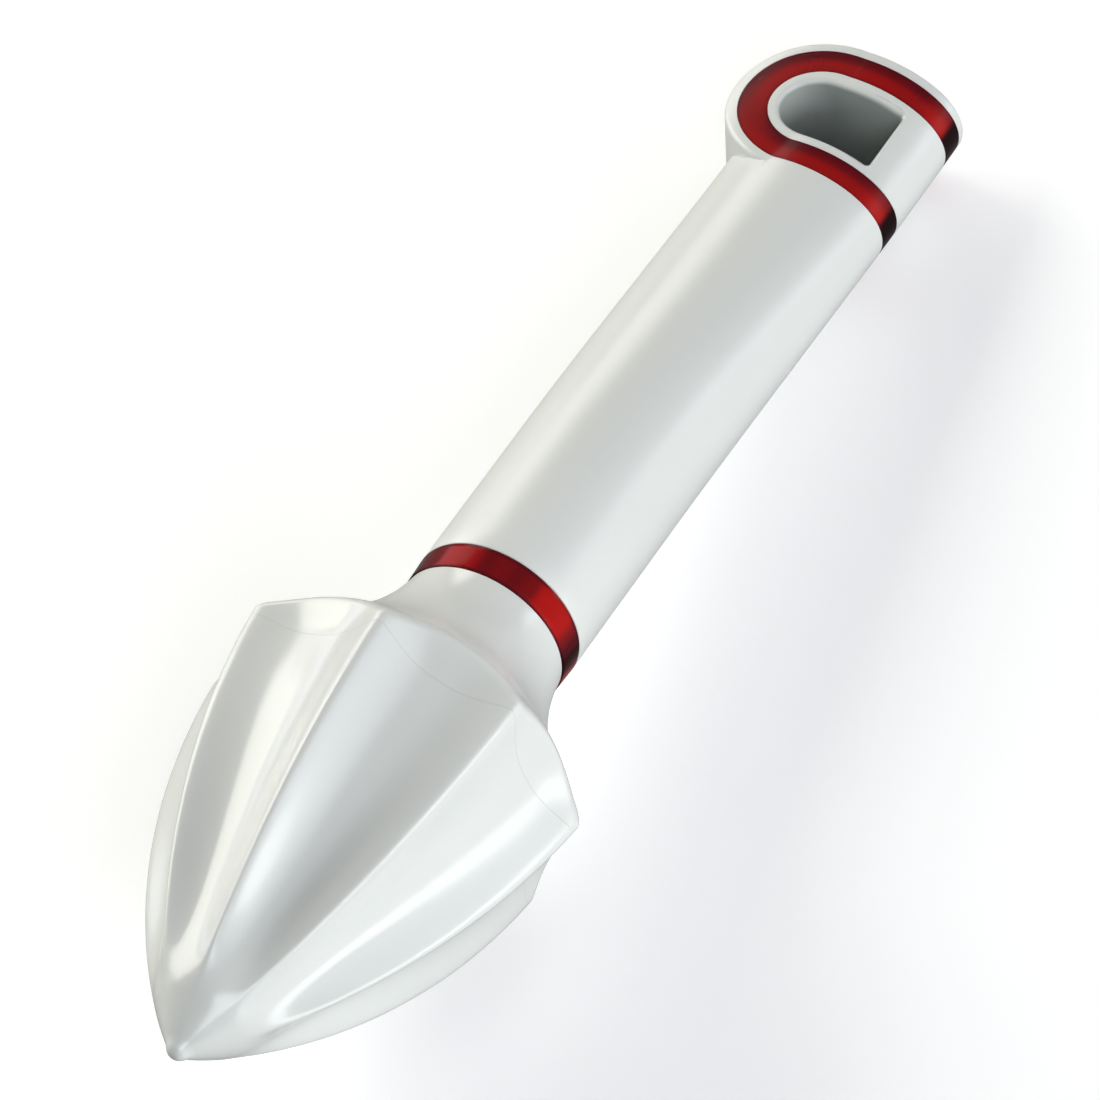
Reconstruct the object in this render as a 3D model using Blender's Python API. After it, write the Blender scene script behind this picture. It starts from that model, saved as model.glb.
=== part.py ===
# Hand citrus reamer: a fluted pressing head on a tubular handle with a hanging loop.
# Metres, +Z up. The long axis is X, from the tip of the head (-X) to the tail (+X).
# The hanging hole runs along Z and its rounded end points to +Y.
# The origin lies on the long axis, halfway between the tip and the tail.

import math

import bmesh
import bpy

# Running gap between two touching pieces.
GAP = 0.0003

# Handle tube: round at its mouth, an oval at its tail.
HANDLE_LENGTH = 0.1075
HANDLE_RADIUS = 0.0120
HANDLE_WALL = 0.0020
TAIL_HALF_WIDTH = 0.0136
TAIL_LOOP_SIDE = 0.0115
TAIL_HALF_HEIGHT = 0.0088
FLATTEN_START = 0.025
TAIL_STRAIGHT = 0.0095
TAIL_EDGE_ROUND = 0.0007
BULKHEAD = 0.0022

# Hanging loop at the tail: a rounded boss, its coloured inlay and its core.
LOOP_RADIUS = 0.0131
LOOP_NEAR_RADIUS = 0.0127
CROWN_HALF_WIDTH = 0.0193
LOOP_CENTRE_Y = 0.0016
RIM_WALL = 0.00175
BOSS_FILLET = 0.0018
INLAY_WIDTH = 0.00375
HOLE_RADIUS = 0.0050
HOLE_END_Y = -0.0078
HOLE_CORNER = 0.0007
HOLE_ROUND = 0.0010

# Coloured ring between the head and the handle.
RING_WIDTH = 0.0038
RING_DRAFT = 0.00015
RING_EDGE = 0.00015

# Neck of the head: a concave flare from the ring's seat to the ridges.
NECK_RADIUS = 0.0117
NECK_LENGTH = 0.0245
FLARE_RADIUS = 0.0285
FLARE_START_DEGREES = 8.0
FLARE_LIMIT_DEGREES = 74.0
SPIGOT_LENGTH = 0.0140
SPIGOT_WALL = 0.0021
SHOULDER_ROUND = 0.0013

# Fluted cone.
RIDGE_COUNT = 8
CONE_LENGTH = 0.0546
CONE_RADIUS = 0.0265
CONE_CONVEXITY = 0.65
CONE_POWER = 0.87
FLUTE_DEPTH = 0.0042
FLUTE_START = 0.11
FLUTE_RISE = 0.18
FLUTE_FILL = 0.45
FLUTE_FILL_LENGTH = 0.006
CREST_ROUND = 0.10
NOSE_RADIUS = 0.0017
SEAM_DIP = 0.0010
CONE_WALL = 0.0022
LIP_LENGTH = 0.0032
LIP_WALL = 0.0017

# Facets.
STEPS_PER_RIDGE = 10
TUBE_SIDES = 56
ARC_STEPS = 24

# Places along X, worked out from the sizes above.
SEAT_WIDTH = RING_WIDTH + 2 * GAP
TOTAL_LENGTH = CONE_LENGTH + NECK_LENGTH + SEAT_WIDTH + HANDLE_LENGTH
TIP_X = -TOTAL_LENGTH / 2
SEAM_X = TIP_X + CONE_LENGTH
SEAT_X = SEAM_X + NECK_LENGTH
MOUTH_X = SEAT_X + SEAT_WIDTH
TAIL_X = MOUTH_X + HANDLE_LENGTH
FLATTEN_END = HANDLE_LENGTH - TAIL_STRAIGHT
LOOP_CENTRE_X = TAIL_X - LOOP_RADIUS
SLOT_RADIUS = LOOP_RADIUS - RIM_WALL
INLAY_OUTER = SLOT_RADIUS - GAP
INLAY_INNER = INLAY_OUTER - INLAY_WIDTH
CORE_RADIUS = INLAY_INNER - GAP
BORE_RADIUS = HANDLE_RADIUS - HANDLE_WALL
SPIGOT_RADIUS = BORE_RADIUS - GAP
CAVITY_RADIUS = CONE_RADIUS - FLUTE_DEPTH - CONE_WALL
FAR_SIDE = -2.5 * TAIL_HALF_WIDTH


def clear_scene():
    for item in list(bpy.data.objects):
        bpy.data.objects.remove(item, do_unlink=True)


def make_material(name, colour, roughness, transmission=0.0):
    material = bpy.data.materials.new(name)
    material.use_nodes = True
    shader = material.node_tree.nodes["Principled BSDF"]
    shader.inputs["Base Color"].default_value = (*colour, 1.0)
    shader.inputs["Roughness"].default_value = roughness
    shader.inputs["Metallic"].default_value = 0.0
    shader.inputs["Transmission Weight"].default_value = transmission
    return material


def add_object(name, bm, material=None, sharp_angle=35.0):
    bmesh.ops.recalc_face_normals(bm, faces=bm.faces[:])
    mesh = bpy.data.meshes.new(name)
    bm.to_mesh(mesh)
    bm.free()
    mesh.shade_smooth()
    mesh.set_sharp_from_angle(angle=math.radians(sharp_angle))
    item = bpy.data.objects.new(name, mesh)
    bpy.context.scene.collection.objects.link(item)
    if material is None:
        item.hide_render = True
        item.display_type = "WIRE"
    else:
        mesh.materials.append(material)
    return item


def add_boolean(item, other, operation):
    modifier = item.modifiers.new(operation.lower() + "_" + other.name, "BOOLEAN")
    modifier.operation = operation
    modifier.solver = "EXACT"
    modifier.object = other


def smoothstep(value):
    value = min(max(value, 0.0), 1.0)
    return value * value * (3.0 - 2.0 * value)


# A skin over a row of rings with equal point counts. Each end is a pole, a flat cap,
# or both ends meet to make a closed loop of rings.
def skin_rings(rings, start_pole=None, end_pole=None, closed=False):
    bm = bmesh.new()
    rows = [[bm.verts.new(point) for point in ring] for ring in rings]
    count = len(rows[0])
    pairs = list(zip(rows[:-1], rows[1:]))
    if closed:
        pairs.append((rows[-1], rows[0]))
    for row, following in pairs:
        for i in range(count):
            j = (i + 1) % count
            bm.faces.new((row[i], row[j], following[j], following[i]))
    for row, pole in ((rows[0], start_pole), (rows[-1], end_pole)):
        if closed:
            continue
        if pole is None:
            bm.faces.new(row)
            continue
        tip = bm.verts.new(pole)
        for i in range(count):
            bm.faces.new((row[i], row[(i + 1) % count], tip))
    return bm


# A ring across X. Its +Y side may be narrower than its -Y side, and is cut off at limit.
def oval_ring(x, half_width, half_height, loop_side=None, limit=None):
    ring = []
    for i in range(TUBE_SIDES):
        angle = 2 * math.pi * i / TUBE_SIDES
        y = math.cos(angle)
        y *= half_width if y < 0.0 or loop_side is None else loop_side
        if limit is not None:
            y = min(y, limit)
        ring.append((x, y, half_height * math.sin(angle)))
    return ring


# The handle's reach to -Y, to +-Z and to +Y at a distance from its mouth.
def handle_section(distance):
    share = smoothstep((distance - FLATTEN_START) / (FLATTEN_END - FLATTEN_START))
    ends = (TAIL_HALF_WIDTH, TAIL_HALF_HEIGHT, TAIL_LOOP_SIDE)
    return [HANDLE_RADIUS + (end - HANDLE_RADIUS) * share for end in ends]


# Distances from the mouth where the tube changes enough to need a ring.
def handle_stations(end):
    steps = 9
    first = min(FLATTEN_START, 0.5 * end)
    last = min(FLATTEN_END, end)
    inner = [first + (last - first) * i / steps for i in range(steps + 1)]
    return [0.0] + inner + ([end] if end > last + 1e-5 else [])


def make_tube():
    rings = []
    mouth_round = 0.3 * TAIL_EDGE_ROUND
    for distance in handle_stations(HANDLE_LENGTH - LOOP_RADIUS):
        section = handle_section(distance)
        if distance == 0.0:
            rings.append(oval_ring(MOUTH_X, *[reach - mouth_round for reach in section]))
            distance = mouth_round
        rings.append(oval_ring(MOUTH_X + distance, *section))
    steps = 6
    inner_radius = LOOP_RADIUS - GAP
    for i in range(1, steps):
        angle = 0.5 * math.pi * i / steps
        x = LOOP_CENTRE_X + (LOOP_RADIUS - TAIL_EDGE_ROUND) * math.sin(angle)
        limit = LOOP_CENTRE_Y + inner_radius * math.cos(angle)
        rings.append(oval_ring(x, *handle_section(x - MOUTH_X), limit=limit))
    section = handle_section(HANDLE_LENGTH)
    for angle in (0, 30, 60, 90):
        inset = TAIL_EDGE_ROUND * (1 - math.cos(math.radians(angle)))
        reach = TAIL_EDGE_ROUND * (1 - math.sin(math.radians(angle)))
        ring = oval_ring(TAIL_X - reach, *[part - inset for part in section], limit=LOOP_CENTRE_Y)
        rings.append(ring)
    return skin_rings(rings)


# The boss that carries the loop past the tube's side: upright rounded outlines along Y.
# Its end towards the mouth runs out into the tube in a fillet.
def make_boss():
    rings = []
    edge = TAIL_EDGE_ROUND
    rows = [(0.15 * LOOP_CENTRE_Y, LOOP_RADIUS)]
    for i in range(ARC_STEPS // 2 + 1):
        angle = 0.5 * math.pi * i / (ARC_STEPS // 2 + 0.35)
        rows.append((LOOP_CENTRE_Y + LOOP_RADIUS * math.sin(angle), LOOP_RADIUS * math.cos(angle)))
    for y, half_length in rows:
        lean = (y - LOOP_CENTRE_Y) / LOOP_RADIUS if y > LOOP_CENTRE_Y else 0.0
        height = tail_top(y) - 0.1 * GAP
        foot = min(max(tube_top(y), 0.2 * height), height - 1.6 * edge)
        fade = smoothstep(1.6 * (1.0 - y / TAIL_LOOP_SIDE))
        fillet = min(BOSS_FILLET * fade, 0.8 * (height - edge - foot))
        profile = []
        for angle in (0, 30, 60, 90):
            drop = edge * (1 - math.sin(math.radians(angle)))
            inset = edge * (1 - math.cos(math.radians(angle)))
            profile.append((height - drop, inset * (1 - lean), inset * lean))
        flare = []
        for angle in (0, 22, 45, 68):
            rise = max(fillet, 0.4 * edge) * (1 - math.sin(math.radians(angle)))
            reach = fillet * (1 - math.cos(math.radians(angle)))
            flare.append((foot + rise, -reach, 0.0))
        near = profile[::-1] + flare
        plain = [(height - edge - (height - edge) * 0.2 * (i + 1), 0.0, 0.0) for i in range(4)]
        far = profile[::-1] + plain
        outline = []
        for sign_x, sign_z, points in ((1, 1, far[::-1]), (-1, 1, near), (-1, -1, near[::-1]), (1, -1, far)):
            reach = half_length
            if sign_x < 0:
                reach *= LOOP_NEAR_RADIUS / LOOP_RADIUS
            for z, inset, pull in points:
                outline.append((
                    LOOP_CENTRE_X + sign_x * max(reach - inset, 0.02 * edge),
                    y - pull,
                    sign_z * z,
                ))
        rings.append(outline)
    return skin_rings(rings)


# Plan outline of a D: an arc towards +Y and straight legs to its end at end_y.
def loop_outline(radius, end_y, corner=0.0):
    points = []
    for i in range(ARC_STEPS + 1):
        angle = math.pi * i / ARC_STEPS
        points.append((LOOP_CENTRE_X + radius * math.cos(angle), LOOP_CENTRE_Y + radius * math.sin(angle)))
    if corner == 0.0:
        return points + [(LOOP_CENTRE_X - radius, end_y), (LOOP_CENTRE_X + radius, end_y)]
    for side, first in ((-1, 180), (1, 270)):
        for i in range(4):
            angle = math.radians(first + 30 * i)
            points.append((
                LOOP_CENTRE_X + side * (radius - corner) + corner * math.cos(angle),
                end_y + corner + corner * math.sin(angle),
            ))
    return points


def make_prism(radius, end_y, half_height):
    outline = loop_outline(radius, end_y)
    return skin_rings([[(x, y, z) for x, y in outline] for z in (-half_height, half_height)])


# Height of the tail's top face above the mid-plane, at a distance to one side.
def tail_top(y):
    if y > 0.0:
        return TAIL_HALF_HEIGHT * (1.0 - (y / CROWN_HALF_WIDTH) ** 4) ** 0.25
    return TAIL_HALF_HEIGHT * math.sqrt(max(1.0 - (y / TAIL_HALF_WIDTH) ** 2, 0.0))


# Height of the tube's own side under the boss.
def tube_top(y):
    return TAIL_HALF_HEIGHT * math.sqrt(max(1.0 - (y / TAIL_LOOP_SIDE) ** 2, 0.0))


# The hanging hole with a rounded edge where it meets the top and bottom faces.
def make_hole_cutter():
    levels = [(0.0, 0.0)]
    for angle in (0, 25, 50, 72):
        sine = math.sin(math.radians(angle))
        cosine = math.cos(math.radians(angle))
        levels.append((HOLE_ROUND * (1 - cosine), HOLE_ROUND * (sine - 1)))
    rings = []
    for offset, lift in levels[1:]:
        outline = loop_outline(HOLE_RADIUS + offset, HOLE_END_Y - offset, HOLE_CORNER + offset)
        rings.append([(x, y, tail_top(y) + lift) for x, y in outline])
    offset = 1.25 * HOLE_ROUND
    outline = loop_outline(HOLE_RADIUS + offset, HOLE_END_Y - offset, HOLE_CORNER + offset)
    rings.append([(x, y, tail_top(y) + HOLE_ROUND) for x, y in outline])
    lower = [[(x, y, -z) for x, y, z in ring] for ring in reversed(rings)]
    return skin_rings(lower + rings)


def make_ring():
    inner = BORE_RADIUS
    head_side = SEAT_X + GAP
    profile = (
        (head_side, inner),
        (head_side, HANDLE_RADIUS - RING_DRAFT - RING_EDGE),
        (head_side + RING_EDGE, HANDLE_RADIUS - RING_DRAFT),
        (head_side + RING_WIDTH - RING_EDGE, HANDLE_RADIUS),
        (head_side + RING_WIDTH, HANDLE_RADIUS - RING_EDGE),
        (head_side + RING_WIDTH, inner),
    )
    return skin_rings([oval_ring(x, radius, radius) for x, radius in profile], closed=True)


# Radius of the ridges' crests at a share of the way from the tip to the seam.
def crest_radius(share):
    return CONE_RADIUS * share ** CONE_POWER * (1 + CONE_CONVEXITY - CONE_CONVEXITY * share)


def flute_depth(share):
    grown = max(share - FLUTE_START, 0.0) / FLUTE_RISE
    return FLUTE_DEPTH * (1 - math.exp(-grown ** 1.5))


# How far a direction is from a flute's bottom: 1 on a rounded crest, 0 in the flute.
def crest_share(angle):
    pitch = 2 * math.pi / RIDGE_COUNT
    across = abs((angle + 0.5 * pitch) % pitch - 0.5 * pitch) / (0.5 * pitch)
    full = math.hypot(1.0, CREST_ROUND) - CREST_ROUND
    slope = (math.hypot(across, CREST_ROUND) - CREST_ROUND) / full
    return (1.0 - slope) ** 2


# Radius of the concave neck at a distance ahead of the ring's seat.
def flare_radius(distance):
    start = math.radians(FLARE_START_DEGREES)
    limit = math.sin(math.radians(FLARE_LIMIT_DEGREES))
    sine = min(max(distance, 0.0) / FLARE_RADIUS + math.sin(start), limit)
    beyond = max(distance - FLARE_RADIUS * (limit - math.sin(start)), 0.0)
    rise = FLARE_RADIUS * (math.cos(start) - math.sqrt(1 - sine ** 2))
    return NECK_RADIUS + rise + beyond * math.tan(math.radians(FLARE_LIMIT_DEGREES))


def smooth_minimum(first, second, width):
    gap = max(width - abs(first - second), 0.0) / width
    return min(first, second) - 0.25 * width * gap * gap


# Directions round the head, closer together at each crest.
def head_directions():
    pitch = 2 * math.pi / RIDGE_COUNT
    directions = []
    for ridge in range(RIDGE_COUNT):
        for step in range(STEPS_PER_RIDGE):
            across = 2.0 * step / STEPS_PER_RIDGE - 1.0
            across = math.copysign(abs(across) ** 1.35, across)
            directions.append((ridge + 0.5 * across) * pitch)
    return directions


# One ring of the head. The crests stand at 0, 45, 90 degrees and so on from +Z.
# dip moves the flutes' points back from the crests along X, as the seam does.
def head_ring(x, dip=0.0, neck=False):
    ring = []
    share = (x - TIP_X) / CONE_LENGTH
    fill = FLUTE_FILL * smoothstep((x - SEAM_X) / FLUTE_FILL_LENGTH)
    for angle in head_directions():
        crest = crest_share(angle)
        radius = crest_radius(share) - flute_depth(share) * (1.0 - crest) * (1.0 - fill)
        place = x - dip * (1.0 - crest)
        if neck:
            width = 4 * SHOULDER_ROUND
            radius = smooth_minimum(radius, flare_radius(SEAT_X - place), width)
        ring.append((place, radius * math.sin(angle), radius * math.cos(angle)))
    return ring


def round_ring(x, radius):
    return [(x, radius * math.sin(angle), radius * math.cos(angle)) for angle in head_directions()]


def make_cone():
    outer = []
    for angle in (32, 56):
        reach = NOSE_RADIUS * (1 - math.cos(math.radians(angle)))
        outer.append(round_ring(TIP_X + reach, NOSE_RADIUS * math.sin(math.radians(angle))))
    steps = 20
    start = 0.9 * NOSE_RADIUS
    end = CONE_LENGTH - 0.5 * GAP
    for i in range(steps + 1):
        share = i / steps
        distance = start + (end - start) * share ** 1.25
        outer.append(head_ring(TIP_X + distance, dip=SEAM_DIP * smoothstep(2.0 * share - 1.0)))
    rim_x = SEAM_X - SEAM_DIP - 1.5 * GAP
    register_x = rim_x - LIP_LENGTH
    depth = CONE_LENGTH - 3.2 * CONE_WALL - SEAM_DIP - LIP_LENGTH
    cavity = [round_ring(rim_x, CAVITY_RADIUS)]
    steps = 5
    for i in range(steps):
        share = i / steps
        radius = CAVITY_RADIUS * (1 - share) * (1 + 0.72 * share)
        cavity.append(round_ring(register_x - depth * share, radius))
    inner_tip = (register_x - depth, 0.0, 0.0)
    return skin_rings(outer + cavity, start_pole=(TIP_X, 0.0, 0.0), end_pole=inner_tip)


def make_neck_cap():
    lip_radius = CAVITY_RADIUS - GAP
    face_x = SEAM_X + 0.5 * GAP
    lip_root = face_x - SEAM_DIP
    rings = [round_ring(lip_root - LIP_LENGTH, lip_radius), round_ring(lip_root, lip_radius)]
    steps = 16
    for i in range(steps + 1):
        share = i / steps
        distance = (NECK_LENGTH - 0.5 * GAP) * (0.45 * share + 0.55 * share ** 2)
        rings.append(head_ring(face_x + distance, dip=SEAM_DIP * (1.0 - share) ** 2, neck=True))
    bore = SPIGOT_RADIUS - SPIGOT_WALL
    lead = 0.25 * SPIGOT_WALL
    spigot_end = MOUTH_X + SPIGOT_LENGTH
    rings.append(round_ring(SEAT_X, SPIGOT_RADIUS))
    rings.append(round_ring(spigot_end - lead, SPIGOT_RADIUS))
    rings.append(round_ring(spigot_end, SPIGOT_RADIUS - lead))
    rings.append(round_ring(spigot_end, bore))
    wall = 2 * SPIGOT_WALL
    throat = SEAT_X - 0.35 * NECK_LENGTH
    rings.append(round_ring(throat, bore))
    for share in (0.35, 0.7):
        x = throat + (lip_root - throat) * share
        radius = min(flare_radius(SEAT_X - x) - wall, lip_radius - LIP_WALL)
        rings.append(round_ring(x, max(radius, bore)))
    rings.append(round_ring(lip_root, lip_radius - LIP_WALL))
    rings.append(round_ring(lip_root - LIP_LENGTH, lip_radius - LIP_WALL))
    return skin_rings(rings, closed=True)


def make_hollow():
    end = LOOP_CENTRE_X - SLOT_RADIUS - BULKHEAD - MOUTH_X
    rings = [oval_ring(MOUTH_X - HANDLE_WALL, BORE_RADIUS, BORE_RADIUS)]
    for distance in handle_stations(end):
        section = [reach - HANDLE_WALL for reach in handle_section(distance)]
        rings.append(oval_ring(MOUTH_X + distance, *section))
    return skin_rings(rings)


def build():
    clear_scene()
    white = (0.80, 0.82, 0.78)
    red = (0.42, 0.012, 0.016)
    cone_white = make_material("cone_white", white, 0.28)
    neck_white = make_material("neck_white", white, 0.28)
    shell_white = make_material("shell_white", white, 0.30)
    core_white = make_material("core_white", white, 0.32)
    ring_red = make_material("ring_red", red, 0.12, 0.5)
    inlay_red = make_material("inlay_red", red, 0.12, 0.5)

    add_object("reamer_cone", make_cone(), cone_white)
    add_object("neck_cap", make_neck_cap(), neck_white)
    add_object("front_ring", make_ring(), ring_red)

    tail_form = add_object("tail_form", make_tube())
    boss = add_object("loop_boss", make_boss())
    add_boolean(tail_form, boss, "UNION")

    reach = 2 * TAIL_HALF_HEIGHT
    slot = add_object("slot_cutter", make_prism(SLOT_RADIUS, FAR_SIDE, reach))
    hollow = add_object("hollow_cutter", make_hollow())
    shell = add_object("handle_shell", make_tube(), shell_white)
    add_boolean(shell, boss, "UNION")
    add_boolean(shell, slot, "DIFFERENCE")
    add_boolean(shell, hollow, "DIFFERENCE")

    inlay = add_object("loop_inlay", make_prism(INLAY_OUTER, FAR_SIDE, reach), inlay_red)
    inlay_window = add_object("inlay_window", make_prism(INLAY_INNER, 2 * FAR_SIDE, 2 * reach))
    add_boolean(inlay, tail_form, "INTERSECT")
    add_boolean(inlay, inlay_window, "DIFFERENCE")

    core = add_object("loop_core", make_prism(CORE_RADIUS, FAR_SIDE, reach), core_white)
    hole = add_object("hole_cutter", make_hole_cutter())
    add_boolean(core, tail_form, "INTERSECT")
    add_boolean(core, hole, "DIFFERENCE")


build()
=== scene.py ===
# Hand citrus reamer on a pale table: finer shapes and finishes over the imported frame.
# Metres. +X runs from the tip of the head to the tail, +Z is the way the hanging hole goes.
import math

import bmesh
import bpy
from mathutils import Matrix, Vector


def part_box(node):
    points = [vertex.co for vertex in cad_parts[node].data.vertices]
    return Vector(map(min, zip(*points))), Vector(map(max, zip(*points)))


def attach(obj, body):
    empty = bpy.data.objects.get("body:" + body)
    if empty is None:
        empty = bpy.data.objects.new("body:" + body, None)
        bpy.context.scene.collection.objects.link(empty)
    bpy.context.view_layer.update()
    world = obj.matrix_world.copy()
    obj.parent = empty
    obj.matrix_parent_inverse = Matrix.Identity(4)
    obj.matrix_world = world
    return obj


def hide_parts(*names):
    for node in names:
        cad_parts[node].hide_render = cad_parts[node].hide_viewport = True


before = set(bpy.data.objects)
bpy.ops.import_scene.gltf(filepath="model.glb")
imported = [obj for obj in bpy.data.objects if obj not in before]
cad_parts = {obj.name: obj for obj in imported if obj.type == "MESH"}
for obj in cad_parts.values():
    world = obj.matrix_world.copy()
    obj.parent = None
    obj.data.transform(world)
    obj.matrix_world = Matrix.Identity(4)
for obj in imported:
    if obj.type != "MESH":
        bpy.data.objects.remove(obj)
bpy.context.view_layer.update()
print("frame loaded")

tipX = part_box("reamer_cone")[0][0]
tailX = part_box("handle_shell")[1][0]
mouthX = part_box("handle_shell")[0][0]

head = {
    "ridges": 8,
    "stepsPerRidge": 44,        # facets round the head between two crests
    "crestPacking": 1.3,        # packs the facets closer at each crest: 1 is even
    "coneLength": 0.0546,
    "coneRadius": 0.0265,
    "convexity": 0.65,
    "power": 0.87,
    "fluteDepth": 0.0042,
    "fluteStart": 0.11,
    "fluteRise": 0.18,
    "flutePower": 1.5,
    "fluteFill": 0.25,
    "fillLength": 0.006,
    "crestRound": 0.10,
    "scoop": 2.4,               # how hollow a flute is: 1 is a flat-sided V
    "noseRadius": 0.0017,
    "noseAngle": 58.0,          # degrees of the nose's ball that show
    "noseSteps": 7,
    "noseShare": 0.9,           # where the flutes begin, in radii of the nose
    "stations": 84,             # steps along the cone
    "stationPower": 1.15,
    "seamDip": 0.0010,
    "seamGap": 0.00003,
    "shoulderRound": 0.00035,   # the shoulder's edge in the flutes
    "cornerRound": 0.0013,      # the same edge where a crest ends at it
    "wall": 0.0022,
    "rimStep": 0.0006,          # from the seam's lowest point to the rim inside
    "rimDepth": 0.0032,         # the straight bore that takes the neck's lip
    "cavityShare": 0.84,
    "cavityBulge": 0.72,
    "cavitySteps": 7,
    "sharpAngle": 60.0,
}

neck = {
    "length": 0.0245,
    "radius": 0.0117,
    "flareRadius": 0.0285,
    "flareStart": 8.0,
    "flareLimit": 74.0,
    "stations": 108,            # steps along the neck
    "seatGap": 0.00005,
    "spigotLength": 0.0140,
    "spigotRadius": 0.0097,
    "spigotLead": 0.0005,
    "bore": 0.0076,
    "throatShare": 0.35,        # where the bore begins to widen, from the seat
    "cavityShares": (0.35, 0.7),
    "flareWall": 0.0042,
    "lipGap": 0.0002,
    "lipLead": 0.0002,
    "lipLength": 0.0028,
    "lipStraight": 0.0026,
    "lipWall": 0.0017,
    "sharpAngle": 50.0,
}

ring = {
    "radius": 0.0120,
    "draft": 0.00015,
    "edge": 0.00022,
    "bore": 0.0099,
    "seamGap": 0.00005,
    "facets": 224,
    "bandSteps": 6,
    "sharpAngle": 40.0,
}

handle = {
    "length": 0.1075,
    "radius": 0.0120,
    "wall": 0.0020,
    "tailHalfWidth": 0.0136,
    "tailLoopSide": 0.0115,
    "tailHalfHeight": 0.0088,
    "flattenStart": 0.025,
    "tailStraight": 0.0095,
    "edgeRound": 0.0007,
    "mouthRoundShare": 0.35,    # the mouth's rounding against the tail's
    "facets": 168,
    "stations": 40,             # steps along the tube
    "hollowFacets": 96,
    "hollowStations": 24,
    "hollowOverrun": 0.002,     # the hollow's cutter stands this far out of the mouth
    "hollowMargin": 0.0022,     # from the hollow's end to the inlay's slot
    "sharpAngle": 30.0,
}

loop = {
    "radius": 0.0131,
    "nearRadius": 0.0127,
    "crownHalfWidth": 0.0193,
    "crownPower": 4,
    "centreY": 0.0016,
    "rimWall": 0.00175,
    "tubeInset": 0.0003,        # the tube's end stays this far inside the loop
    "inlayWidth": 0.00405,
    "seamGap": 0.00006,
    "holeRadius": 0.0052,
    "holeShift": 0.0004,        # the hole's arc stands this much nearer the crown, along Y
    "holeEndY": -0.0081,
    "holeCorner": 0.0005,
    "holeRound": 0.0009,
    "holeLip": 1.25,            # how far the cutter reaches out above, in edge roundings
    "arcSteps": 72,
    "legCuts": 14,
    "legLeast": 0.002,          # shorter edges in plan belong to a corner
    "cornerSteps": 6,
    "backShare": -0.06,         # where the boss ends behind the arc's centre, in radii
    "footShare": 0.2,           # the foot's least height, in heights of the boss
    "footRoom": 1.6,            # the wall between foot and top, in edge roundings
    "fillet": 0.0018,           # the flare at the boss's foot
    "filletFade": 1.6,
    "filletMost": 0.8,
    "filletLeast": 0.4,
    "flareOnset": 3.0,
    "topRings": 27,
    "topBlend": 0.00012,
    "topClearance": 0.000015,
    "blendOnset": 2.0,
    "cutterLength": 2.5,        # in half-widths of the tail
    "cutterHeight": 2.2,        # in half-heights of the tail
}

seamX = tipX + head["coneLength"]
seatX = seamX + neck["length"]
centreX = tailX - loop["radius"]
coneBore = head["coneRadius"] - head["fluteDepth"] - head["wall"]
headFacets = head["ridges"] * head["stepsPerRidge"]
mouthRound = handle["mouthRoundShare"] * handle["edgeRound"]
skinRadius = 1.0            # points spun at this radius take their place on the skin later
weld = {"piece": 1e-7, "spin": 1e-8, "mirror": 1e-6}


# Mesh helpers

def makePiece(name, bm, sharpAngle=32.0):
    bmesh.ops.remove_doubles(bm, verts=bm.verts[:], dist=weld["piece"])
    bmesh.ops.recalc_face_normals(bm, faces=bm.faces[:])
    mesh = bpy.data.meshes.new(name)
    bm.to_mesh(mesh)
    bm.free()
    mesh.shade_smooth()
    mesh.set_sharp_from_angle(angle=math.radians(sharpAngle))
    piece = bpy.data.objects.new(name, mesh)
    bpy.context.scene.collection.objects.link(piece)
    return piece


def spinProfile(points, facets, closed=False):
    bm = bmesh.new()
    verts = [bm.verts.new((x, 0.0, radius)) for x, radius in points]
    pairs = list(zip(verts[:-1], verts[1:]))
    if closed:
        pairs.append((verts[-1], verts[0]))
    for first, second in pairs:
        bm.edges.new((first, second))
    bmesh.ops.spin(
        bm, geom=bm.verts[:] + bm.edges[:], cent=(0.0, 0.0, 0.0), axis=(1.0, 0.0, 0.0),
        dvec=(0.0, 0.0, 0.0), angle=2 * math.pi, steps=facets, use_merge=True,
    )
    bmesh.ops.remove_doubles(bm, verts=bm.verts[:], dist=weld["spin"])
    return bm


def vertsOf(made):
    return [item for item in made["geom"] if isinstance(item, bmesh.types.BMVert)]


def mirrorDown(bm):         # adds the half below the middle plane
    geom = bm.verts[:] + bm.edges[:] + bm.faces[:]
    bmesh.ops.mirror(bm, geom=geom, matrix=Matrix(), merge_dist=weld["mirror"], axis="Z")


def combine(base, other, operation):
    modifier = base.modifiers.new(operation.lower(), "BOOLEAN")
    modifier.operation = operation
    modifier.solver = "EXACT"
    modifier.object = other
    graph = bpy.context.evaluated_depsgraph_get()
    mesh = bpy.data.meshes.new_from_object(base.evaluated_get(graph))
    base.modifiers.clear()
    old = base.data
    base.data = mesh
    bpy.data.meshes.remove(old)
    mesh.name = base.name


def discard(*objects):
    for item in objects:
        mesh = item.data
        bpy.data.objects.remove(item, do_unlink=True)
        bpy.data.meshes.remove(mesh)


def copyOf(item, name):
    twin = bpy.data.objects.new(name, item.data.copy())
    bpy.context.scene.collection.objects.link(twin)
    return twin


def smoothstep(value):
    value = min(max(value, 0.0), 1.0)
    return value * value * (3.0 - 2.0 * value)


def smoothMinimum(first, second, width):
    near = max(width - abs(first - second), 0.0) / width
    return min(first, second) - 0.25 * width * near * near


# The fluted head

def crestRadius(share):
    curve = 1 + head["convexity"] - head["convexity"] * share
    return head["coneRadius"] * max(share, 0.0) ** head["power"] * curve


def fluteDepth(share):
    grown = max(share - head["fluteStart"], 0.0) / head["fluteRise"]
    return head["fluteDepth"] * (1 - math.exp(-grown ** head["flutePower"]))


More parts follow.
